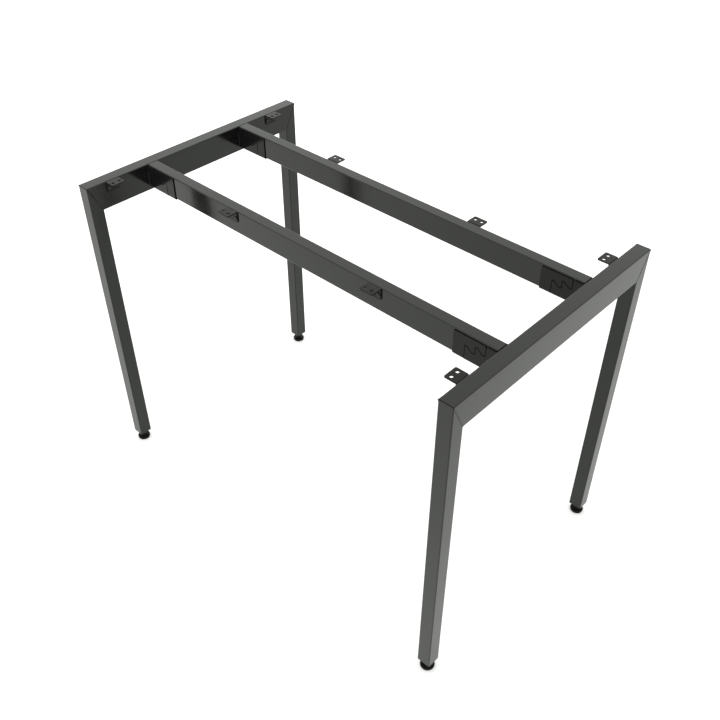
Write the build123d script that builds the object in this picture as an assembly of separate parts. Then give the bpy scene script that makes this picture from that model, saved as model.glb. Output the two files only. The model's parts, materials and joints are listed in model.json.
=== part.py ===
from build123d import *
import os

# Steel frame for a rectangular desk: two mitred leg frames joined by two drop-in
# beams.  The table top itself is not part of it; it screws onto eight brackets.
#
# Millimetres.  X runs along the beams, +X is the right leg frame.  -Y is the front,
# where the user sits.  +Z is up, and the origin is on the floor under the middle.

# ---- driving dimensions -------------------------------------------------------

FRAME_LENGTH = 980.0
FRAME_DEPTH = 584.0
FRAME_HEIGHT = 727.0

WALL = 1.5
TUBE_CORNER_R = 2.0
LEG_SIZE = 30.0
BAR_HEIGHT = 60.0
BEAM_WIDTH = 25.0
BEAM_HEIGHT = 50.0
BEAM_Y = 127.5
BEAM_END_GAP = 1.0
LEG_LIFT = 25.0

# Snap-lock connector: a hooked channel on the beam end, a matching one on the frame.
SHEET = 2.0
CONNECTOR_LENGTH = 88.0
CONNECTOR_TOP_DROP = 3.0
SOCKET_SIDE_PLAY = 0.2
SHEET_BEND_R = 1.0
HOOK_START = 63.5
HOOK_PITCH = 20.5
HOOK_TIP_DEPTH = 22.0
HOOK_TIP_RISE = 7.0
HOOK_CATCH = 8.5
HOOK_TIP_WIDTH = 4.0
HOOK_SEAT_WIDTH = 6.0
HOOK_STEPS = 2
HOOK_GAP = 0.9
HOOK_CORNER_R = 0.8
LEAD_IN_WIDTH = 3.0
LEAD_IN_HEIGHT = 8.0

# L-brackets that hold the table top.
BRACKET_WIDTH = 31.0
BRACKET_REACH = 26.0
BRACKET_DROP = 24.0
BRACKET_BEND_R = 1.0
BRACKET_CORNER_R = 3.0
TOP_HOLE_R = 3.25
TOP_HOLE_SPACING = 15.0
TOP_HOLE_REACH = 16.5
FRONT_BRACKET_Y = -231.5
BACK_BRACKET_Y = 211.5
LEFT_BRACKET_X = -183.0
RIGHT_BRACKET_X = 197.0

# Screws that hold the brackets to the tubes.
SCREW_SPACING = 20.0
SCREW_DROP = 14.0
SCREW_R = 2.0
SCREW_HEAD_R = 3.8
SCREW_HEAD_HEIGHT = 2.2
SCREW_HEAD_EDGE_R = 1.2
SCREW_LENGTH = 10.0
SCREW_KEY_R = 1.45
SCREW_KEY_DEPTH = 1.3
SCREW_PLAY = 0.05
BRACKET_SCREW_HOLE_R = 2.25

# Levelling foot: plug and threaded bush in the leg, stud, pad.
PLUG_HEIGHT = 22.0
PLUG_CORE = 24.6
PLUG_FIN_HEIGHT = 1.6
PLUG_FIN_COUNT = 4
BUSH_R = 6.0
BUSH_LENGTH = 18.0
BUSH_FLANGE_R = 8.0
BUSH_FLANGE_HEIGHT = 1.5
STUD_R = 4.0
STUD_TOP = 64.0
STUD_PLAY = 0.06
STUD_TIP_CHAMFER = 1.0
STUD_FLANGE_R = 6.5
STUD_FLANGE_HEIGHT = 2.0
STUD_NECK_R = 3.2
COLLAR_SIZE = 13.0
COLLAR_HEIGHT = 5.0
COLLAR_GAP = 0.3
PAD_R = 15.0
PAD_RIM_HEIGHT = 9.0
PAD_HUB_R = 8.5
PAD_HUB_TOP_R = 7.0
PAD_HEIGHT = 14.0
PAD_EDGE_R = 3.6
PAD_FLOOR_THICKNESS = 5.0

# ---- places worked out from them ------------------------------------------------

FACE_X = FRAME_LENGTH / 2 - LEG_SIZE
LEG_X = FRAME_LENGTH / 2 - LEG_SIZE / 2
LEG_Y = FRAME_DEPTH / 2 - LEG_SIZE / 2
BEAM_FACE_Y = BEAM_Y + BEAM_WIDTH / 2
BAR_CENTRE_Z = FRAME_HEIGHT - BAR_HEIGHT / 2
BEAM_CENTRE_Z = FRAME_HEIGHT - BEAM_HEIGHT / 2
BEAM_LENGTH = 2 * (FACE_X - BEAM_END_GAP)

SIDES = {"left": -1, "right": 1}
ENDS = {"front": -1, "back": 1}
FRAME_BRACKET_Y = {"front": FRONT_BRACKET_Y, "back": BACK_BRACKET_Y}
BEAM_BRACKET_X = {"left": LEFT_BRACKET_X, "right": RIGHT_BRACKET_X}


# ---- tubes ---------------------------------------------------------------------

def box_tube(width, height, length):
    """Rectangular tube with rolled corners, centred, running along Z."""
    outer = RectangleRounded(width, height, TUBE_CORNER_R)
    inner = RectangleRounded(width - 2 * WALL, height - 2 * WALL, TUBE_CORNER_R - WALL)
    return extrude(outer - inner, length / 2, both=True)


def mitre_plane(end):
    """Plane from the outer top corner to the inner lower corner of a leg frame.

    Its positive side is the top bar, its negative side the leg.
    """
    corner = (0, end * FRAME_DEPTH / 2, FRAME_HEIGHT)
    return Plane(origin=corner, z_dir=(0, -end * BAR_HEIGHT, LEG_SIZE))


def screw_holes(bracket_place):
    """Pilot holes in a tube wall, in line with one bracket's two screws."""
    hole = Rot(0, 90, 0) * Cylinder(SCREW_R, 4 * WALL)
    return [bracket_place * spot * hole for spot in SCREW_SPOTS]


def top_bar(side):
    """Top bar of a leg frame, mitred at both ends."""
    tube = Rot(90, 0, 0) * box_tube(LEG_SIZE, BAR_HEIGHT, FRAME_DEPTH)
    bar = Pos(side * LEG_X, 0, BAR_CENTRE_Z) * tube
    for end in ENDS.values():
        bar = split(bar, bisect_by=mitre_plane(end), keep=Keep.TOP)
    for y in FRAME_BRACKET_Y.values():
        bar -= screw_holes(frame_bracket_place(side, y))
    return bar


def leg(side, end):
    """Leg with its upper end cut to meet the top bar."""
    length = FRAME_HEIGHT - LEG_LIFT
    tube = Pos(side * LEG_X, end * LEG_Y, LEG_LIFT + length / 2)
    tube = tube * box_tube(LEG_SIZE, LEG_SIZE, length)
    return split(tube, bisect_by=mitre_plane(end), keep=Keep.BOTTOM)


def beam(end):
    """Long beam between the two leg frames, with the pilot holes of its brackets."""
    tube = Rot(0, 90, 0) * box_tube(BEAM_HEIGHT, BEAM_WIDTH, BEAM_LENGTH)
    tube = Pos(0, end * BEAM_Y, BEAM_CENTRE_Z) * tube
    for x in BEAM_BRACKET_X.values():
        tube -= screw_holes(beam_bracket_place(end, x))
    return tube


# ---- snap-lock connectors --------------------------------------------------------
# Both halves are cut from a folded U channel.  They are drawn for a frame face at
# x = 0 with the beam leaving towards +X, and the top of the beam at z = 0.

def channel(inner_width, start, end):
    """U channel around a beam's sides and underside, from x = start to end.

    Its upper edges stop a little below the top of the beam.
    """
    outer_width = inner_width + 2 * SHEET
    outer_height = BEAM_HEIGHT + SHEET
    outer = RectangleRounded(outer_width, 2 * outer_height, SHEET_BEND_R + SHEET)
    inner = RectangleRounded(inner_width, 2 * BEAM_HEIGHT, SHEET_BEND_R)
    kept_height = outer_height - CONNECTOR_TOP_DROP
    kept = Pos(0, -CONNECTOR_TOP_DROP - kept_height / 2) * Rectangle(outer_width, kept_height)
    profile = (outer - inner) & kept
    return extrude(Plane.YZ.offset(start) * profile, end - start)


def hook_line():
    """The stepped joint line, as (distance from the frame, height below the top)."""
    points = []
    for step in range(HOOK_STEPS):
        x = HOOK_START - step * HOOK_PITCH
        tip = -HOOK_TIP_DEPTH + step * HOOK_TIP_RISE
        seat = tip - HOOK_CATCH
        points.append((x, tip))
        points.append((x - HOOK_TIP_WIDTH, tip))
        points.append((x - HOOK_PITCH + HOOK_SEAT_WIDTH, seat))
        points.append((x - HOOK_PITCH, seat))
    return points


def hook_region(on_beam):
    """Side outline of one half of the connector, set back from the joint line."""
    beyond = 2 * CONNECTOR_LENGTH
    line = hook_line()
    last_x = HOOK_START - HOOK_STEPS * HOOK_PITCH
    below = (HOOK_START, -beyond)
    if on_beam:
        rest = [(last_x, beyond), (beyond, beyond), (beyond, -beyond)]
    else:
        lead_in = [(last_x, -LEAD_IN_HEIGHT), (last_x - LEAD_IN_WIDTH, 0)]
        rest = lead_in + [(last_x - LEAD_IN_WIDTH, beyond), (-beyond, beyond), (-beyond, -beyond)]
    outline = make_face(Polyline(below, *line, *rest, close=True))
    outline = offset(outline, amount=-HOOK_GAP / 2, kind=Kind.INTERSECTION)
    tips = [v for v in outline.vertices() if abs(v.Y) < BEAM_HEIGHT and 0 < v.X < HOOK_START + SHEET]
    outline = fillet(tips, HOOK_CORNER_R)
    return extrude(Plane.XZ * outline, BEAM_WIDTH, both=True)


def beam_hook():
    """Hooked channel welded round the end of a beam."""
    last_x = HOOK_START - HOOK_STEPS * HOOK_PITCH
    blank = channel(BEAM_WIDTH, last_x, CONNECTOR_LENGTH)
    return blank & hook_region(on_beam=True)


def frame_socket():
    """Hooked channel welded to the inner face of a top bar, open at the top."""
    blank = channel(BEAM_WIDTH + 2 * SOCKET_SIDE_PLAY, 0, HOOK_START)
    return blank & hook_region(on_beam=False)


def connector_place(side, end):
    """Where a connector stands: at the inner face of a bar, facing the other bar."""
    turn = 0 if side < 0 else 180
    return Pos(side * FACE_X, end * BEAM_Y, FRAME_HEIGHT) * Rot(0, 0, turn)


# ---- brackets --------------------------------------------------------------------
# Drawn against a face at x = 0, with the tab towards +X and its top at z = 0.

def frame_bracket_place(side, y):
    turn = 0 if side < 0 else 180
    return Pos(side * FACE_X, y, FRAME_HEIGHT) * Rot(0, 0, turn)


def beam_bracket_place(end, x):
    return Pos(x, end * BEAM_FACE_Y, FRAME_HEIGHT) * Rot(0, 0, end * 90)


SCREW_SPOTS = [Pos(0, y, -SCREW_DROP) for y in (-SCREW_SPACING / 2, SCREW_SPACING / 2)]
TOP_HOLE_SPOTS = [Pos(TOP_HOLE_REACH, y, 0) for y in (-TOP_HOLE_SPACING / 2, TOP_HOLE_SPACING / 2)]


def bracket():
    """Folded L-bracket: a tab under the table top and a leaf against the tube."""
    leaf = Pos(SHEET / 2, 0, -BRACKET_DROP / 2) * Box(SHEET, BRACKET_WIDTH, BRACKET_DROP)
    tab = Pos(BRACKET_REACH / 2, 0, -SHEET / 2) * Box(BRACKET_REACH, BRACKET_WIDTH, SHEET)
    plate = leaf + tab
    along_y = plate.edges().filter_by(Axis.Y)
    inner_bend = along_y.sort_by_distance((SHEET, 0, -SHEET))[0]
    plate = fillet(inner_bend, BRACKET_BEND_R)
    outer_bend = plate.edges().filter_by(Axis.Y).sort_by_distance((0, 0, 0))[0]
    plate = fillet(outer_bend, BRACKET_BEND_R + SHEET)
    tab_corners = plate.edges().filter_by(Axis.Z).sort_by(Axis.X)[-2:]
    plate = fillet(tab_corners, BRACKET_CORNER_R)
    leaf_corners = plate.edges().filter_by(Axis.X).sort_by(Axis.Z)[:2]
    plate = fillet(leaf_corners, BRACKET_CORNER_R)
    for spot in SCREW_SPOTS:
        plate -= spot * Rot(0, 90, 0) * Cylinder(BRACKET_SCREW_HOLE_R, 4 * SHEET)
    for spot in TOP_HOLE_SPOTS:
        plate -= spot * Cylinder(TOP_HOLE_R, 4 * SHEET)
    return plate


def bracket_screw():
    """Button-head thread-forming screw, driven towards -X, its head on the leaf."""
    head = Pos(0, 0, SCREW_HEAD_HEIGHT / 2) * Cylinder(SCREW_HEAD_R, SCREW_HEAD_HEIGHT)
    rim = head.edges().sort_by(Axis.Z)[-1]
    head = fillet(rim, SCREW_HEAD_EDGE_R)
    shank = Pos(0, 0, -SCREW_LENGTH / 2) * Cylinder(SCREW_R - SCREW_PLAY, SCREW_LENGTH)
    key = Pos(0, 0, SCREW_HEAD_HEIGHT - SCREW_KEY_DEPTH) * extrude(
        RegularPolygon(SCREW_KEY_R, 6), SCREW_KEY_DEPTH)
    return Pos(SHEET, 0, 0) * Rot(0, 90, 0) * (head + shank - key)


# ---- levelling feet --------------------------------------------------------------
# Drawn on the axis of a leg, with the floor at z = 0.

def leg_plug():
    """Finned plastic plug pressed into the lower end of a leg."""
    inside = LEG_SIZE - 2 * WALL
    plug = Pos(0, 0, LEG_LIFT + PLUG_HEIGHT / 2) * Box(PLUG_CORE, PLUG_CORE, PLUG_HEIGHT)
    spacing = (PLUG_HEIGHT - PLUG_FIN_HEIGHT) / (PLUG_FIN_COUNT - 1)
    fin = extrude(RectangleRounded(inside, inside, TUBE_CORNER_R - WALL), PLUG_FIN_HEIGHT)
    for number in range(PLUG_FIN_COUNT):
        plug += Pos(0, 0, LEG_LIFT + number * spacing) * fin
    plug -= bush_outline(bore=False)
    bore_height = PLUG_HEIGHT - BUSH_LENGTH
    clear_bore = Cylinder(STUD_R + 4 * STUD_PLAY, 2 * bore_height)
    return plug - Pos(0, 0, LEG_LIFT + PLUG_HEIGHT) * clear_bore


def bush_outline(bore):
    """Flanged round bush, its flange flush with the end of the leg."""
    body = Pos(0, 0, LEG_LIFT + BUSH_LENGTH / 2) * Cylinder(BUSH_R, BUSH_LENGTH)
    flange_centre = LEG_LIFT + BUSH_FLANGE_HEIGHT / 2
    body += Pos(0, 0, flange_centre) * Cylinder(BUSH_FLANGE_R, BUSH_FLANGE_HEIGHT)
    if bore:
        hole = Cylinder(STUD_R + STUD_PLAY, 2 * BUSH_LENGTH)
        body -= Pos(0, 0, LEG_LIFT + BUSH_LENGTH / 2) * hole
    return body


def foot_stud():
    """Levelling stud: thread, hexagon collar, neck and the flange held in the pad."""
    collar_bottom = PAD_HEIGHT + COLLAR_GAP
    thread_height = STUD_TOP - collar_bottom
    thread = Pos(0, 0, collar_bottom + thread_height / 2) * Cylinder(STUD_R, thread_height)
    tip = thread.edges().sort_by(Axis.Z)[-1]
    stud = chamfer(tip, STUD_TIP_CHAMFER)
    across_corners = RegularPolygon(COLLAR_SIZE / 2, 6, major_radius=False)
    stud += Pos(0, 0, collar_bottom) * extrude(across_corners, COLLAR_HEIGHT)
    neck_height = collar_bottom - PAD_FLOOR_THICKNESS
    stud += Pos(0, 0, PAD_FLOOR_THICKNESS + neck_height / 2) * Cylinder(STUD_NECK_R, neck_height)
    flange_centre = PAD_FLOOR_THICKNESS + STUD_FLANGE_HEIGHT / 2
    return stud + Pos(0, 0, flange_centre) * Cylinder(STUD_FLANGE_R, STUD_FLANGE_HEIGHT)


def foot_pad():
    """Round pad with soft edges and a hub that turns freely under the stud."""
    pad = Pos(0, 0, PAD_RIM_HEIGHT / 2) * Cylinder(PAD_R, PAD_RIM_HEIGHT)
    pad = fillet(pad.edges().filter_by(GeomType.CIRCLE), PAD_EDGE_R)
    hub_height = PAD_HEIGHT - PAD_RIM_HEIGHT
    pad += Pos(0, 0, PAD_RIM_HEIGHT + hub_height / 2) * Cone(PAD_HUB_R, PAD_HUB_TOP_R, hub_height)
    play = STUD_PLAY
    neck_hole = Cylinder(STUD_NECK_R + play, PAD_HEIGHT, align=(Align.CENTER, Align.CENTER, Align.MIN))
    pocket_height = STUD_FLANGE_HEIGHT + 2 * play
    pocket = Cylinder(STUD_FLANGE_R + play, pocket_height)
    pocket_centre = PAD_FLOOR_THICKNESS + STUD_FLANGE_HEIGHT / 2
    pad -= Pos(0, 0, PAD_FLOOR_THICKNESS - play) * neck_hole
    return pad - Pos(0, 0, pocket_centre) * pocket


# ---- assembly --------------------------------------------------------------------

def build_nodes():
    """Every sub-part in its place, by node name."""
    nodes = {}
    screws = []
    bushes = []
    one_bracket = bracket()
    one_screw = bracket_screw()
    one_hook = beam_hook()
    one_socket = frame_socket()
    one_plug = leg_plug()
    one_bush = bush_outline(bore=True)
    one_stud = foot_stud()
    one_pad = foot_pad()

    def add_bracket(name, place):
        nodes[name] = place * one_bracket
        screws.extend(place * spot * one_screw for spot in SCREW_SPOTS)

    for side_name, side in SIDES.items():
        nodes[f"{side_name}_top_bar"] = top_bar(side)
        for end_name, end in ENDS.items():
            corner = f"{side_name}_{end_name}"
            foot_place = Pos(side * LEG_X, end * LEG_Y, 0)
            nodes[f"{corner}_leg"] = leg(side, end)
            nodes[f"{corner}_leg_plug"] = foot_place * one_plug
            nodes[f"{corner}_foot_stud"] = foot_place * one_stud
            nodes[f"{corner}_foot_pad"] = foot_place * one_pad
            bushes.append(foot_place * one_bush)
            nodes[f"{corner}_frame_socket"] = connector_place(side, end) * one_socket
            nodes[f"{corner}_beam_hook"] = connector_place(side, end) * one_hook
            bracket_y = FRAME_BRACKET_Y[end_name]
            add_bracket(f"{corner}_frame_bracket", frame_bracket_place(side, bracket_y))

    for end_name, end in ENDS.items():
        nodes[f"{end_name}_beam"] = beam(end)
        for side_name, x in BEAM_BRACKET_X.items():
            add_bracket(f"{side_name}_{end_name}_beam_bracket", beam_bracket_place(end, x))

    nodes["bracket_screws"] = Compound(children=screws)
    nodes["leg_bushes"] = Compound(children=bushes)
    return nodes


os.makedirs("parts", exist_ok=True)
for node_name, shape in build_nodes().items():
    export_step(shape, f"parts/{node_name}.step")
    print(f"{node_name}: {shape.volume / 1000:.2f} cm3")
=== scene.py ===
import json
import math

import bmesh
import bpy
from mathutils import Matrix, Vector, noise


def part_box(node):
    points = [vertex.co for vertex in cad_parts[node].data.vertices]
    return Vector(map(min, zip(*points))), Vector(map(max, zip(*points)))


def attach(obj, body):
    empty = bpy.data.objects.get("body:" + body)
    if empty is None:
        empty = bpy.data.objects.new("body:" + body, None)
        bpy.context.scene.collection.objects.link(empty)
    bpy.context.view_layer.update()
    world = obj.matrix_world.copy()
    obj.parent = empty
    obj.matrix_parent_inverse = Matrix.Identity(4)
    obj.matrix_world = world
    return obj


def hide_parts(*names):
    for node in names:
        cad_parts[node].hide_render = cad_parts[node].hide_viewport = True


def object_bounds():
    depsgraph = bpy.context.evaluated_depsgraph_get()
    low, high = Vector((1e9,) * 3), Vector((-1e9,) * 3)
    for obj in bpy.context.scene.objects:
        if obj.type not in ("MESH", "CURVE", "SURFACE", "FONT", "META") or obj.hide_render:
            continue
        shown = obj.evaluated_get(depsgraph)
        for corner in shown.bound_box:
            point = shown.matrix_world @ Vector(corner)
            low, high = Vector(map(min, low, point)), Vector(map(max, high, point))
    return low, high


# Looks of a steel desk frame: two mitred leg frames, two drop-in beams, brackets
# and levelling feet.  Metres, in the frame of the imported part.

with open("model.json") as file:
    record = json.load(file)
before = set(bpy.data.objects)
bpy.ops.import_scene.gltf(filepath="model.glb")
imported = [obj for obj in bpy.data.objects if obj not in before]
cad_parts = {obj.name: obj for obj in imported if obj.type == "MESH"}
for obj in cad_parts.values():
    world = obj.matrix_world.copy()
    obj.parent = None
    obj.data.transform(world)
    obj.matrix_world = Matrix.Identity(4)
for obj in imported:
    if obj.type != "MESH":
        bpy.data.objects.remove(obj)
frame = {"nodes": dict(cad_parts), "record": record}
cad_low, cad_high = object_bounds()

MM = 0.001

# The corners of the desk: (name, its top bar, side along X, end along Y).
SIDES = {"left": -1, "right": 1}
ENDS = {"front": -1, "back": 1}
CORNERS = [(f"{s}_{e}", f"{s}_top_bar", SIDES[s], ENDS[e]) for s in SIDES for e in ENDS]

# ---- camera ---------------------------------------------------------------------

CAMERA_AT = (1.0179, -1.0594, 1.5910)
CAMERA_TILT = 50.269
CAMERA_TURN = 43.117
CAMERA_LENS = 43.191
CAMERA_SHIFT = (0.0021, -0.0053)

# ---- levelling stud ---------------------------------------------------------------

THREAD_PITCH = 1.25 * MM
THREAD_MAJOR_R = 4.0 * MM
THREAD_MINOR_R = 3.35 * MM
THREAD_STEPS = 40
# One turn of the thread, from root to crest: (share of the pitch, radius).
THREAD_PROFILE = [(0.0, THREAD_MINOR_R), (0.2, THREAD_MINOR_R),
                  (0.54, THREAD_MAJOR_R), (0.66, THREAD_MAJOR_R)]
THREAD_TIP_SHARE = 0.25     # share of the major radius that the end chamfer takes
THREAD_CORE_SHARE = 0.8     # share of the minor radius that the chamfer leaves
RELIEF_HEIGHT = 1.2 * MM
RELIEF_R = 3.2 * MM
LATHE_STEPS = 72

COLLAR_GAP = 0.3 * MM
COLLAR_HEIGHT = 5.0 * MM
COLLAR_FLATS = 13.0 * MM
COLLAR_CHAMFER = 0.9 * MM
CHAMFER_LEVELS = (0.0, 0.15, 0.35, 0.65, 1.0)
CHAMFER_CURVE = 1.2
CHAMFER_RISE = 0.6          # height of the chamfer over its depth
STUD_NECK_R = 3.2 * MM
STUD_FLANGE_R = 6.5 * MM
STUD_FLANGE_HEIGHT = 2.0 * MM
STUD_SOFTENING = 0.4 * MM

# ---- foot pad -----------------------------------------------------------------------

PAD_RIM_HEIGHT = 9.0 * MM
PAD_SOLE_R = 3.6 * MM
PAD_CROWN_R = 3.6 * MM
PAD_HUB_R = 8.5 * MM
PAD_HUB_TOP_R = 7.0 * MM
PAD_HUB_ROOT = 1.0 * MM
PAD_HUB_LIP = 0.6 * MM
PAD_HOLE_CHAMFER = 0.3 * MM
PAD_RECESS_DEPTH = 0.5 * MM
PAD_RECESS_INSET = (2.2 * MM, 1.7 * MM)
PAD_PLAY = 0.06 * MM

# ---- welds --------------------------------------------------------------------------

SEAM_WIDTH = 3.0 * MM
SEAM_HEIGHT = 0.35 * MM
SEAM_END_GAP = 1.2 * MM
BEAD_SIZE = 2.4 * MM
BEAD_SINK = 0.3 * MM
BEAD_STEP = 0.9 * MM
BEAD_ARC_STEPS = 8
BEAD_FOOT = 0.45            # half width of a bead's buried foot over its width
BEAD_TAPER_START = 0.2 * MM
BEAD_NARROWING = 0.2        # share of its width that a bead loses at its very ends
RIPPLE_SHARE, RIPPLE_LENGTH = 0.10, 1.5 * MM
WANDER_SHARE, WANDER_LENGTH = 0.08, 6.0 * MM
WANDER_ROW = 7.0            # keeps the wander's noise apart from the ripple's
MITRE_BEAD_RISE = 0.45      # height of a fillet over its width
MITRE_BEAD_INSET = 2.0 * MM
SOCKET_BEAD_RISE = 0.4
SOCKET_BEAD_INSET = 4.0 * MM
SOCKET_BEAD_FOOT = 3.5 * MM
SOCKET_BEAD_HEAD = 12.0 * MM

# ---- edges and gloss ------------------------------------------------------------------

# Cosine between the true and the rounded normal: on an open face, and on an edge.
EDGE_COSINES = (0.985, 0.80)
BEVEL_SAMPLES = 6
FULL_GLOSS = 0.5
# How edge-on the coat is seen, from 0 to 1: the gloss eases off between these two.
GRAZING = (0.70, 0.88)
GRAZING_GLOSS = 0.005
# A coat is thin, and so less glossy, in a narrow line along each corner.
THIN_COAT_REACH = 2.2 * MM
THIN_COAT_GLOSS = 0.12


# ---- material graphs ---------------------------------------------------------------

class Graph:
    """A material with one Principled shader, and short calls to add nodes to it."""

    def __init__(self, name):
        self.material = bpy.data.materials.new(name)
        self.material.use_nodes = True
        self.tree = self.material.node_tree
        self.shader = self.tree.nodes["Principled BSDF"]
        self.place = self.node("ShaderNodeTexCoord").outputs["Object"]

    def node(self, kind, inputs=None, **settings):
        made = self.tree.nodes.new(kind)
        for name, value in settings.items():
            setattr(made, name, value)
        for name, value in (inputs or {}).items():
            if isinstance(value, bpy.types.NodeSocket):
                self.tree.links.new(value, made.inputs[name])
            else:
                made.inputs[name].default_value = value
        return made

    def noise(self, size, detail=2.0, roughness=0.5):
        """Noise from 0 to 1 whose blobs are about size metres across."""
        return self.node("ShaderNodeTexNoise", {
            "Vector": self.place, "Scale": 1 / size,
            "Detail": detail, "Roughness": roughness}).outputs["Fac"]

    def spread(self, value, span, onto=(0.0, 1.0)):
        """value's span, low to high, stretched onto another one."""
        return self.node("ShaderNodeMapRange", {
            "Value": value, "From Min": span[0], "From Max": span[1],
            "To Min": onto[0], "To Max": onto[1]}).outputs["Result"]

    def maths(self, operation, a, b):
        return self.node("ShaderNodeMath", {0: a, 1: b}, operation=operation).outputs[0]

    def colour(self, factor, a, b):
        made = self.node("ShaderNodeMix", data_type="RGBA")
        self.tree.links.new(factor, made.inputs[0])
        for number, value in ((6, a), (7, b)):
            if isinstance(value, bpy.types.NodeSocket):
                self.tree.links.new(value, made.inputs[number])
            else:
                made.inputs[number].default_value = (*value, 1.0)
        return made.outputs[2]

    def edges(self, radius):
        """1 along outer and inner edges, 0 on open faces, and the rounded normal."""
        bevel = self.node("ShaderNodeBevel", {"Radius": radius}, samples=BEVEL_SAMPLES)
        rounded = bevel.outputs["Normal"]
        flat = self.node("ShaderNodeNewGeometry").outputs["Normal"]
        dot = self.node("ShaderNodeVectorMath", {0: rounded, 1: flat},
                        operation="DOT_PRODUCT")
        return self.spread(dot.outputs["Value"], EDGE_COSINES), rounded

    def grazing_gloss(self):
        """Specular level that eases off where a textured coat is seen almost edge-on."""
        edge_on = self.node("ShaderNodeLayerWeight", {"Blend": 0.5}).outputs["Facing"]
        return self.spread(edge_on, GRAZING, (FULL_GLOSS, GRAZING_GLOSS))

    def thin_coat_gloss(self):
        """Share of the specular level that is left along corners, 1 on open faces."""
        corner, _ = self.edges(THIN_COAT_REACH)
        return self.spread(corner, (0.0, 1.0), (1.0, THIN_COAT_GLOSS))

    def bump(self, height, distance, normal):
        inputs = {"Height": height, "Distance": distance, "Strength": 1.0, "Normal": normal}
        return self.node("ShaderNodeBump", inputs).outputs["Normal"]

    def finish(self, **sockets):
        """Sets or links the shader's sockets; Base_Color stands for Base Color."""
        for name, value in sockets.items():
            socket = self.shader.inputs[name.replace("_", " ")]
            if isinstance(value, bpy.types.NodeSocket):
                self.tree.links.new(value, socket)
            elif isinstance(value, tuple):
                socket.default_value = (*value, 1.0)
            else:
                socket.default_value = value
        return self.material


def scaled(colour, by):
    return tuple(part * by for part in colour)


def around(value, offsets):
    """The span that offsets make around value."""
    return tuple(value + offset for offset in offsets)


# Each group below: the size of a pattern, the span of the noise that counts, and what
# that span does to the colour, the roughness or the share of a rubbed edge.

CLOUD_SIZE, CLOUD_SHADE = 60.0 * MM, 0.06
SPECKLE_SIZE, SPECKLE_SPAN, SPECKLE_SHARE = 0.9 * MM, (0.35, 0.65), 0.35
SPECKLE_BRIGHTNESS = 1.25
GRAIN_SPAN, GRAIN_ROUGHNESS = (0.3, 0.7), (-0.02, 0.03)
DUST_SIZE, DUST_SPAN, DUST_ROUGHNESS = 25.0 * MM, (0.35, 0.75), (-0.03, 0.04)
RUB_REACH, RUB_SIZE, RUB_SPAN, RUB_SHARE = 0.7 * MM, 9.0 * MM, (0.48, 0.72), 0.5
RUB_POLISH = 0.1
PEEL_SIZE = 1.6 * MM


def powder_coat(name, colour, rubbed_colour, roughness, peel_depth, ior, sheen):
    """Baked powder coat: fine orange peel, faint clouding, thin rubbed edges."""
    g = Graph(name)
    clouds = g.noise(CLOUD_SIZE, detail=3.0)
    speckle = g.noise(SPECKLE_SIZE, detail=1.0)
    base = g.colour(clouds, scaled(colour, 1 - CLOUD_SHADE),
                    scaled(colour, 1 + CLOUD_SHADE))
    specks = g.spread(speckle, SPECKLE_SPAN, (0.0, SPECKLE_SHARE))
    base = g.colour(specks, base, scaled(colour, SPECKLE_BRIGHTNESS))
    edge, rounded = g.edges(RUB_REACH)
    patches = g.noise(RUB_SIZE, detail=4.0, roughness=0.7)
    rubbed = g.maths("MULTIPLY", edge, g.spread(patches, RUB_SPAN, (0.0, RUB_SHARE)))
    dust = g.spread(g.noise(DUST_SIZE, detail=5.0, roughness=0.65),
                    DUST_SPAN, DUST_ROUGHNESS)
    grain = g.spread(speckle, GRAIN_SPAN, around(roughness, GRAIN_ROUGHNESS))
    return g.finish(
        Base_Color=g.colour(rubbed, base, rubbed_colour),
        Roughness=g.maths("SUBTRACT", g.maths("ADD", dust, grain),
                          g.maths("MULTIPLY", rubbed, RUB_POLISH)),
        Normal=g.bump(g.noise(PEEL_SIZE), peel_depth, rounded),
        IOR=ior, Specular_Tint=sheen,
        Specular_IOR_Level=g.maths("MULTIPLY", g.grazing_gloss(), g.thin_coat_gloss()))


OXIDE_FILM_SIZE, OXIDE_SHADES = 1.2 * MM, (0.7, 1.4)
OXIDE_SPAN, OXIDE_ROUGHNESS = (0.3, 0.7), (-0.06, 0.08)
OXIDE_RUB_REACH, OXIDE_RUB_SIZE = 0.25 * MM, 0.8 * MM
OXIDE_RUB_SPAN, OXIDE_RUB_SHARE = (0.4, 0.7), 0.7
OXIDE_RUBBED = (0.16, 0.155, 0.15)
OXIDE_GRAIN_SIZE, OXIDE_GRAIN_DEPTH = 0.5 * MM, 0.01 * MM
OXIDE_METALLIC = 0.55


def oiled_oxide(name, colour, roughness):
    """Black oxide screws: a thin oily film, rubbed bright where the key goes in."""
    g = Graph(name)
    film = g.noise(OXIDE_FILM_SIZE, detail=3.0)
    edge, rounded = g.edges(OXIDE_RUB_REACH)
    patches = g.spread(g.noise(OXIDE_RUB_SIZE), OXIDE_RUB_SPAN, (0.0, OXIDE_RUB_SHARE))
    darkest, palest = OXIDE_SHADES
    base = g.colour(film, scaled(colour, darkest), scaled(colour, palest))
    return g.finish(
        Base_Color=g.colour(g.maths("MULTIPLY", edge, patches), base, OXIDE_RUBBED),
        Roughness=g.spread(film, OXIDE_SPAN, around(roughness, OXIDE_ROUGHNESS)),
        Metallic=OXIDE_METALLIC,
        Normal=g.bump(g.noise(OXIDE_GRAIN_SIZE), OXIDE_GRAIN_DEPTH, rounded))


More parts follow.
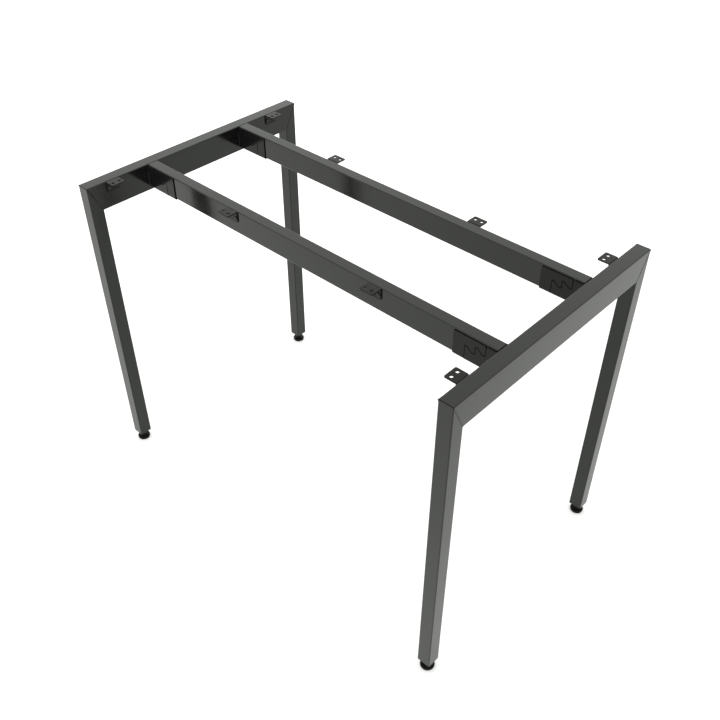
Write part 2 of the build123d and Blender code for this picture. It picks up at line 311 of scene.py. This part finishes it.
ZINC_CLOUD_SIZE, ZINC_SPAN, ZINC_ROUGHNESS = 4.0 * MM, (0.3, 0.7), (-0.07, 0.09)
ZINC_LINE_SIZE, ZINC_LINE_DEPTH = 0.12 * MM, 0.006 * MM
ZINC_EDGE_REACH, ZINC_EDGE_SIZE = 0.2 * MM, 0.9 * MM
ZINC_EDGE_SPAN, ZINC_EDGE_SHARE, ZINC_EDGE_BRIGHTNESS = (0.4, 0.75), 0.6, 2.2
ZINC_METALLIC = 0.85


def zinc_plate(name, colour, roughness, tint):
    """Zinc plate: faint iridescent clouds and fine turning marks around the axis."""
    g = Graph(name)
    clouds = g.noise(ZINC_CLOUD_SIZE, detail=4.0)
    split = g.node("ShaderNodeSeparateXYZ", {"Vector": g.place})
    along = g.node("ShaderNodeCombineXYZ", {"Z": split.outputs["Z"]}).outputs[0]
    lines = g.node("ShaderNodeTexNoise", {"Vector": along, "Scale": 1 / ZINC_LINE_SIZE})
    edge, rounded = g.edges(ZINC_EDGE_REACH)
    base = g.colour(g.spread(clouds, ZINC_SPAN), colour, tint)
    patches = g.noise(ZINC_EDGE_SIZE, detail=3.0)
    bright = g.maths("MULTIPLY", edge,
                     g.spread(patches, ZINC_EDGE_SPAN, (0.0, ZINC_EDGE_SHARE)))
    return g.finish(
        Base_Color=g.colour(bright, base, scaled(colour, ZINC_EDGE_BRIGHTNESS)),
        Roughness=g.spread(clouds, ZINC_SPAN, around(roughness, ZINC_ROUGHNESS)),
        Metallic=ZINC_METALLIC,
        Normal=g.bump(lines.outputs["Fac"], ZINC_LINE_DEPTH, rounded))


SCUFF_SIZE, SCUFF_SHADES, SCUFF_SHADE_SPAN = 5.0 * MM, (0.85, 1.35), (0.3, 0.8)
SCUFF_SPAN, SCUFF_ROUGHNESS = (0.3, 0.7), (-0.06, 0.08)
MOULD_GRAIN_SIZE = 0.45 * MM
MOULD_EDGE_REACH, MOULD_EDGE_SPAN, MOULD_EDGE_SHARE = 0.5 * MM, (0.45, 0.75), 0.5
MOULD_EDGE_BRIGHTNESS = 3.0


def moulded_plastic(name, colour, roughness, grain_depth, ior):
    """Injection-moulded plastic: spark-eroded grain, scuffs, polished high spots."""
    g = Graph(name)
    scuffs = g.noise(SCUFF_SIZE, detail=6.0, roughness=0.7)
    edge, rounded = g.edges(MOULD_EDGE_REACH)
    pale = g.maths("MULTIPLY", edge,
                   g.spread(scuffs, MOULD_EDGE_SPAN, (0.0, MOULD_EDGE_SHARE)))
    darkest, palest = SCUFF_SHADES
    base = g.colour(g.spread(scuffs, SCUFF_SHADE_SPAN),
                    scaled(colour, darkest), scaled(colour, palest))
    return g.finish(
        Base_Color=g.colour(pale, base, scaled(colour, MOULD_EDGE_BRIGHTNESS)),
        Roughness=g.spread(scuffs, SCUFF_SPAN, around(roughness, SCUFF_ROUGHNESS)),
        Normal=g.bump(g.noise(MOULD_GRAIN_SIZE), grain_depth, rounded), IOR=ior)


ANTHRACITE = (0.0034, 0.0036, 0.0034)
RUBBED_ANTHRACITE = (0.05, 0.052, 0.05)
ANTHRACITE_SHEEN = (0.97, 1.0, 0.95)
BLACK = (0.005, 0.005, 0.005)
RUBBED_BLACK = (0.03, 0.03, 0.03)
BLACK_SHEEN = (1.0, 1.0, 0.98)

MATERIALS = {
    "frame_steel": powder_coat(
        "frame_steel", ANTHRACITE, RUBBED_ANTHRACITE, roughness=0.14,
        peel_depth=0.004 * MM, ior=1.39, sheen=ANTHRACITE_SHEEN),
    "connector_steel": powder_coat(
        "connector_steel", BLACK, RUBBED_BLACK, roughness=0.16,
        peel_depth=0.004 * MM, ior=1.24, sheen=BLACK_SHEEN),
    "bracket_steel": powder_coat(
        "bracket_steel", BLACK, RUBBED_BLACK, roughness=0.20,
        peel_depth=0.006 * MM, ior=1.25, sheen=BLACK_SHEEN),
    "screw_steel": oiled_oxide("screw_steel", (0.02, 0.02, 0.02), roughness=0.38),
    "plug_plastic": moulded_plastic(
        "plug_plastic", (0.018, 0.018, 0.018), roughness=0.5,
        grain_depth=0.02 * MM, ior=1.45),
    "bush_steel": zinc_plate(
        "bush_steel", (0.55, 0.55, 0.54), roughness=0.32, tint=(0.50, 0.49, 0.43)),
    "stud_steel": zinc_plate(
        "stud_steel", (0.05, 0.05, 0.053), roughness=0.34, tint=(0.04, 0.045, 0.055)),
    "pad_plastic": moulded_plastic(
        "pad_plastic", (0.0025, 0.0025, 0.0025), roughness=0.24,
        grain_depth=0.006 * MM, ior=1.18),
}


def dress(piece, slot):
    piece.data.materials.clear()
    piece.data.materials.append(MATERIALS[slot])


def dress_nodes():
    """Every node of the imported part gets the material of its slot."""
    for entry in frame["record"]["subparts"]:
        dress(frame["nodes"][entry["node"]], entry["material_slot"])


# ---- mesh helpers ------------------------------------------------------------------

WELD_DISTANCE = 0.0001 * MM


def piece_from(bm, name, body, slot, smooth_angle):
    """Turns bm into a finished piece that rides on body."""
    bmesh.ops.remove_doubles(bm, verts=bm.verts, dist=WELD_DISTANCE)
    bmesh.ops.recalc_face_normals(bm, faces=bm.faces)
    mesh = bpy.data.meshes.new(name)
    bm.to_mesh(mesh)
    bm.free()
    mesh.shade_smooth()
    mesh.set_sharp_from_angle(angle=math.radians(smooth_angle))
    piece = bpy.data.objects.new(name, mesh)
    bpy.context.scene.collection.objects.link(piece)
    dress(piece, slot)
    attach(piece, body)
    return piece


def skin_rows(bm, rows):
    """Joins closed rows of points, one after the other, and closes both ends."""
    rings = [[bm.verts.new(point) for point in row] for row in rows]
    for lower, upper in zip(rings, rings[1:]):
        for number in range(len(lower)):
            beside = (number + 1) % len(lower)
            bm.faces.new((lower[number], lower[beside], upper[beside], upper[number]))
    bm.faces.new(list(reversed(rings[0])))
    bm.faces.new(rings[-1])


def around_axis(centre, radius, angle, height):
    """The point at that radius, angle and height from a vertical axis through centre."""
    return centre + Vector((radius * math.cos(angle), radius * math.sin(angle), height))


def turned(bm, centre, outline):
    """Solid of revolution: outline is (radius or radius by angle, height) from below."""
    angles = [2 * math.pi * number / LATHE_STEPS for number in range(LATHE_STEPS)]
    rows = []
    for radius, height in outline:
        reaches = [radius(angle) if callable(radius) else radius for angle in angles]
        rows.append([around_axis(centre, reach, angle, height)
                     for reach, angle in zip(reaches, angles)])
    skin_rows(bm, rows)


def arc(centre, radius, start, end, steps):
    """Points (r, z) along an arc, its angles in degrees."""
    angles = [math.radians(start + (end - start) * n / steps) for n in range(steps + 1)]
    return [(centre[0] + radius * math.cos(angle), centre[1] + radius * math.sin(angle))
            for angle in angles]


def middle_of(low, high):
    """The vertical axis through the middle of a box."""
    return Vector(((low.x + high.x) / 2, (low.y + high.y) / 2, 0))


# ---- levelling feet ----------------------------------------------------------------

def hexagon(across_flats, limit):
    """Radius by angle of a hexagon, cut back to limit at its corners."""
    def reach(angle):
        from_flat = (angle + math.pi / 6) % (math.pi / 3) - math.pi / 6
        return min(across_flats / 2 / math.cos(from_flat), limit)
    return reach


def thread_rows(bm, centre, low, high):
    """Rows of points along the thread's roots and crests, drawn in at its upper end."""
    tip_low = high - THREAD_MAJOR_R * THREAD_TIP_SHARE
    turns = math.ceil((high - low) / THREAD_PITCH) + 2
    rows = []
    for turn in range(turns):
        for share, radius in THREAD_PROFILE:
            start = low + (turn - 1 + share) * THREAD_PITCH
            row = []
            for step in range(THREAD_STEPS):
                angle = 2 * math.pi * step / THREAD_STEPS
                height = start + THREAD_PITCH * step / THREAD_STEPS
                reach = min(radius, THREAD_MAJOR_R + (tip_low - height))
                reach = max(reach, THREAD_MINOR_R * THREAD_CORE_SHARE)
                row.append(bm.verts.new(around_axis(centre, reach, angle, height)))
            rows.append(row)
    return rows


def add_thread(bm, centre, low, high):
    """Right-hand thread from low to high, chamfered above, as the first piece of bm."""
    rows = thread_rows(bm, centre, low, high)
    for number in range(len(rows) - len(THREAD_PROFILE) - 1):
        for step in range(THREAD_STEPS):
            ahead = number if step + 1 < THREAD_STEPS else number + len(THREAD_PROFILE)
            beside = (step + 1) % THREAD_STEPS
            bm.faces.new((rows[number][step], rows[ahead][beside],
                          rows[ahead + 1][beside], rows[number + 1][step]))
    for height, outward in ((low, -1), (high, 1)):
        bmesh.ops.bisect_plane(
            bm, geom=bm.verts[:] + bm.edges[:] + bm.faces[:],
            plane_co=centre + Vector((0, 0, height)), plane_no=(0, 0, outward),
            clear_outer=True)
    loose = [vert for vert in bm.verts if not vert.link_faces]
    bmesh.ops.delete(bm, geom=loose, context="VERTS")
    rims = [edge for edge in bm.edges if edge.is_boundary]
    bmesh.ops.holes_fill(bm, edges=rims, sides=0)


def collar_chamfer():
    """Rows of the collar's chamfer, from its face inwards: (radius by angle, height)."""
    corner_r = COLLAR_FLATS / math.cos(math.pi / 6) / 2
    rows = []
    for level in CHAMFER_LEVELS:
        limit = corner_r - COLLAR_CHAMFER * (1 - level) ** CHAMFER_CURVE
        rows.append((hexagon(COLLAR_FLATS, limit), COLLAR_CHAMFER * CHAMFER_RISE * level))
    return rows


def make_foot_stud(corner):
    """Levelling stud: flange, neck, chamfered hexagon collar and rolled thread."""
    node = f"{corner}_foot_stud"
    low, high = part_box(node)
    _, pad_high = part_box(f"{corner}_foot_pad")
    centre = middle_of(low, high)
    collar_low = pad_high.z + COLLAR_GAP
    collar_high = collar_low + COLLAR_HEIGHT
    flange_top = low.z + STUD_FLANGE_HEIGHT
    soft = STUD_SOFTENING
    outline = [(STUD_FLANGE_R - soft, low.z), (STUD_FLANGE_R, low.z + soft)]
    outline += [(STUD_FLANGE_R, flange_top - soft), (STUD_FLANGE_R - soft, flange_top)]
    outline += [(STUD_NECK_R, flange_top), (STUD_NECK_R, collar_low)]
    chamfer_rows = collar_chamfer()
    outline += [(reach, collar_low + height) for reach, height in chamfer_rows]
    outline += [(reach, collar_high - height) for reach, height in reversed(chamfer_rows)]
    outline += [(RELIEF_R + soft, collar_high), (RELIEF_R, collar_high + soft)]
    thread_low = collar_high + RELIEF_HEIGHT
    outline.append((RELIEF_R, thread_low))
    bm = bmesh.new()
    add_thread(bm, centre, thread_low, high.z)
    turned(bm, centre, outline)
    stud = piece_from(bm, f"{corner}_levelling_stud", f"{corner}_stud", "stud_steel",
                      smooth_angle=40.0)
    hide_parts(node)


def make_foot_pad(corner):
    """Moulded pad: soft rim, stepped hub and the open socket for the stud."""
    node = f"{corner}_foot_pad"
    low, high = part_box(node)
    stud_low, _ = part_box(f"{corner}_foot_stud")
    centre = middle_of(low, high)
    rim_r = (high.x - low.x) / 2
    rim_top = low.z + PAD_RIM_HEIGHT
    sole_r = rim_r - PAD_SOLE_R
    recess_in, recess_out = PAD_RECESS_INSET
    outline = [(sole_r - recess_in, low.z + PAD_RECESS_DEPTH), (sole_r - recess_out, low.z)]
    outline += arc((sole_r, low.z + PAD_SOLE_R), PAD_SOLE_R, -90, 0, steps=6)
    outline += arc((rim_r - PAD_CROWN_R, rim_top - PAD_CROWN_R), PAD_CROWN_R,
                   0, 90, steps=8)
    outline += arc((PAD_HUB_R + PAD_HUB_ROOT, rim_top + PAD_HUB_ROOT), PAD_HUB_ROOT,
                   270, 180, steps=5)
    outline += arc((PAD_HUB_TOP_R - PAD_HUB_LIP, high.z - PAD_HUB_LIP), PAD_HUB_LIP,
                   5, 90, steps=4)
    hole_r = STUD_NECK_R + PAD_PLAY
    pocket_r = STUD_FLANGE_R + PAD_PLAY
    pocket_low = stud_low.z - PAD_PLAY
    pocket_high = stud_low.z + STUD_FLANGE_HEIGHT + PAD_PLAY
    outline += [(hole_r + PAD_HOLE_CHAMFER, high.z), (hole_r, high.z - PAD_HOLE_CHAMFER)]
    outline += [(hole_r, pocket_high), (pocket_r, pocket_high), (pocket_r, pocket_low)]
    bm = bmesh.new()
    turned(bm, centre, outline)
    pad = piece_from(bm, f"{corner}_glide_pad", f"{corner}_pad", "pad_plastic",
                     smooth_angle=50.0)
    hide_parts(node)


# ---- welds ---------------------------------------------------------------------------

def add_bead(bm, start, end, across, out, width, height, seed):
    """Low rounded bead from start to end, sunk under the surface; seed varies it."""
    length = (end - start).length
    steps = max(8, round(length / BEAD_STEP))
    foot = across * width * BEAD_FOOT
    rows = []
    for step in range(steps + 1):
        share = step / steps
        at = start.lerp(end, share)
        from_end = min(share, 1 - share) * length
        taper = min(1.0, (from_end + BEAD_TAPER_START) / width) ** 0.5
        ripple_at = Vector((seed, share * length / RIPPLE_LENGTH, 0))
        wander_at = Vector((seed, WANDER_ROW, share * length / WANDER_LENGTH))
        ripple = 1 + RIPPLE_SHARE * noise.noise(ripple_at)
        wander = WANDER_SHARE * width * noise.noise(wander_at)
        row = []
        for number in range(BEAD_ARC_STEPS + 1):
            turn = math.pi * number / BEAD_ARC_STEPS
            narrowing = 1 - BEAD_NARROWING * (1 - taper)
            reach = width / 2 * math.cos(turn) * narrowing
            rise = height * math.sin(turn) * taper * ripple
            row.append(at + across * (reach * ripple + wander) + out * rise)
        row.append(at - foot - out * BEAD_SINK)
        row.append(at + foot - out * BEAD_SINK)
        rows.append(row)
    skin_rows(bm, rows)


def make_mitre_welds(corner, bar, side, end):
    """Dressed seams on both faces of a mitre and a fillet in its inner corner."""
    bar_low, bar_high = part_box(bar)
    leg_low, leg_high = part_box(f"{corner}_leg")
    outer_y = (leg_low if end < 0 else leg_high).y
    inner_y = (leg_high if end < 0 else leg_low).y
    outer = Vector((0, outer_y, bar_high.z))
    inner = Vector((0, inner_y, bar_low.z))
    along = (inner - outer).normalized()
    across = along.cross(Vector((1, 0, 0)))
    end_gap = along * SEAM_END_GAP
    bm = bmesh.new()
    for number, (x, outward) in enumerate(((leg_low.x, -1), (leg_high.x, 1))):
        face = Vector((x, 0, 0))
        add_bead(bm, outer + face + end_gap, inner + face - end_gap,
                 across, Vector((outward, 0, 0)), SEAM_WIDTH, SEAM_HEIGHT,
                 seed=11.3 * side + 3.1 * end + number)
    middle = Vector(((leg_low.x + leg_high.x) / 2, inner.y, inner.z))
    reach = Vector(((leg_high.x - leg_low.x) / 2 - MITRE_BEAD_INSET, 0, 0))
    add_bead(bm, middle - reach, middle + reach,
             Vector((0, -end, 1)).normalized(), Vector((0, -end, -1)).normalized(),
             BEAD_SIZE, BEAD_SIZE * MITRE_BEAD_RISE, seed=5.7 * side + end)
    piece_from(bm, f"{corner}_mitre_weld", "frame", "frame_steel", smooth_angle=60.0)


def make_socket_welds(corner, bar, side, end):
    """Fillet beads where a socket meets the inner face of its bar."""
    low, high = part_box(f"{corner}_frame_socket")
    bar_low, bar_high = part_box(bar)
    face_x = bar_low.x if side > 0 else bar_high.x
    inward = Vector((-side, 0, 0))
    rise = BEAD_SIZE * SOCKET_BEAD_RISE
    bm = bmesh.new()
    for number, (y, outward) in enumerate(((low.y, -1), (high.y, 1))):
        beside = Vector((0, outward, 0))
        start = Vector((face_x, y, low.z + SOCKET_BEAD_FOOT))
        stop = Vector((face_x, y, high.z - SOCKET_BEAD_HEAD))
        add_bead(bm, start, stop,
                 (inward - beside).normalized(), (inward + beside).normalized(),
                 BEAD_SIZE, rise, seed=2.3 * side + 1.9 * end + number)
    under = Vector((0, 0, -1))
    start = Vector((face_x, low.y + SOCKET_BEAD_INSET, low.z))
    stop = Vector((face_x, high.y - SOCKET_BEAD_INSET, low.z))
    add_bead(bm, start, stop, (inward - under).normalized(), (inward + under).normalized(),
             BEAD_SIZE, rise, seed=4.1 * side + end)
    piece_from(bm, f"{corner}_socket_weld", "frame", "connector_steel", smooth_angle=60.0)


# ---- studio -------------------------------------------------------------------------

def make_camera():
    data = bpy.data.cameras.new("camera")
    data.lens = CAMERA_LENS
    data.shift_x, data.shift_y = CAMERA_SHIFT
    camera = bpy.data.objects.new("camera", data)
    camera.location = CAMERA_AT
    camera.rotation_euler = (math.radians(CAMERA_TILT), 0, math.radians(CAMERA_TURN))
    bpy.context.scene.collection.objects.link(camera)
    bpy.context.scene.camera = camera


# name: (place, place it points at, width, watts)
SOFTBOXES = {
    "front_left_fill": ((-1.58, -1.58, 2.38), (0.0, 0.0, 0.37), 1.8, 3.5),
    "back_left_floor": ((-1.27, 1.27, 0.9), (-1.1, 1.1, 0.0), 0.9, 3.9),
    "front_left_floor": ((-1.27, -1.15, 0.9), (-1.1, -1.0, 0.0), 0.9, 2.3),
    "front_floor": ((0.0, -1.27, 0.9), (0.0, -1.1, 0.0), 0.9, 1.1),
}
WORLD_COLOUR = (0.982, 1.0, 0.965)
WORLD_LIGHT = 1.57
FLOOR_COLOUR = (0.85, 0.85, 0.85)
FLOOR_ROUGHNESS = 0.9
FLOOR_SIZE = 60.0
FLOOR_CELLS = 8


def make_softbox(name, place, towards, width, watts):
    data = bpy.data.lights.new(name, "AREA")
    data.size = width
    data.energy = watts
    light = bpy.data.objects.new(name, data)
    light.location = place
    direction = Vector(towards) - Vector(place)
    light.rotation_euler = direction.to_track_quat("-Z", "Y").to_euler()
    light.visible_camera = False
    bpy.context.scene.collection.objects.link(light)


def make_floor():
    bm = bmesh.new()
    bmesh.ops.create_grid(bm, x_segments=FLOOR_CELLS, y_segments=FLOOR_CELLS,
                          size=FLOOR_SIZE / 2)
    mesh = bpy.data.meshes.new("studio_floor")
    bm.to_mesh(mesh)
    bm.free()
    floor = bpy.data.objects.new("studio_floor", mesh)
    bpy.context.scene.collection.objects.link(floor)
    floor.location.z = cad_low.z
    g = Graph("studio_floor")
    floor.data.materials.append(g.finish(
        Base_Color=FLOOR_COLOUR, Roughness=FLOOR_ROUGHNESS, Specular_IOR_Level=0.0))


def make_world():
    world = bpy.data.worlds.new("studio")
    world.use_nodes = True
    background = world.node_tree.nodes["Background"]
    background.inputs["Color"].default_value = (*WORLD_COLOUR, 1.0)
    background.inputs["Strength"].default_value = WORLD_LIGHT
    bpy.context.scene.world = world


# ---- assembly -----------------------------------------------------------------------

dress_nodes()
for corner, bar, side, end in CORNERS:
    make_foot_stud(corner)
    make_foot_pad(corner)
    make_mitre_welds(corner, bar, side, end)
    make_socket_welds(corner, bar, side, end)

make_camera()
make_floor()
make_world()
for name, settings in SOFTBOXES.items():
    make_softbox(name, *settings)
bpy.context.scene.view_settings.view_transform = "Standard"
